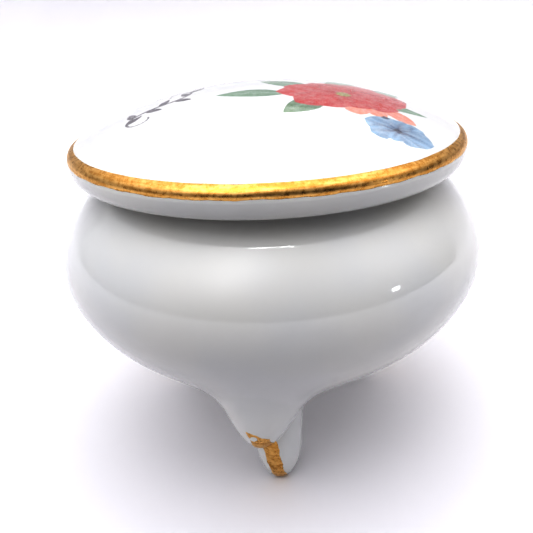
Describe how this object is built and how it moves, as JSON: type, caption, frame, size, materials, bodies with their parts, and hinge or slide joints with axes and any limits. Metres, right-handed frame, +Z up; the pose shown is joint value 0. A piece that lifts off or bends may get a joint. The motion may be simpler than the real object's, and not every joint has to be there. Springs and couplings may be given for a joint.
{
  "type": "porcelain trinket box",
  "caption": "Squat round glazed porcelain trinket box on three cabriole feet, with a domed lift-off lid, a gilded lid rim and gilded feet.",
  "frame": {"origin": "on the box's axis, on the surface that the three feet stand on", "axes": "+Z up along the box's axis, the front foot on -Y, +X to the right seen from the front"},
  "size_m": [0.076, 0.076, 0.0674],
  "materials": {
    "porcelain": "glossy clear glaze over warm white porcelain",
    "lid_porcelain": "glossy clear glaze over warm white porcelain, with a printed spray of flowers",
    "gilding": "fired-on bright gold, brushed by hand, slightly worn"
  },
  "bodies": {
    "base": {"bowl": "porcelain", "foot_front": "porcelain", "foot_front_gilding": "gilding", "foot_rear_right": "porcelain", "foot_rear_right_gilding": "gilding", "foot_rear_left": "porcelain", "foot_rear_left_gilding": "gilding"},
    "lid_seat": {"lid_flange": "porcelain"},
    "lid_top": {"lid": "lid_porcelain", "lid_gold_band": "gilding"}
  },
  "joints": [
    {"name": "lid_lift", "type": "slide", "parent": "base", "child": "lid_seat", "axis": [0, 0, 1], "range_m": [0, 0.06]},
    {"name": "lid_turn", "type": "hinge", "parent": "lid_seat", "child": "lid_top", "pos_m": [0, 0, 0.0557], "axis": [0, 0, 1], "continuous": true}
  ]
}
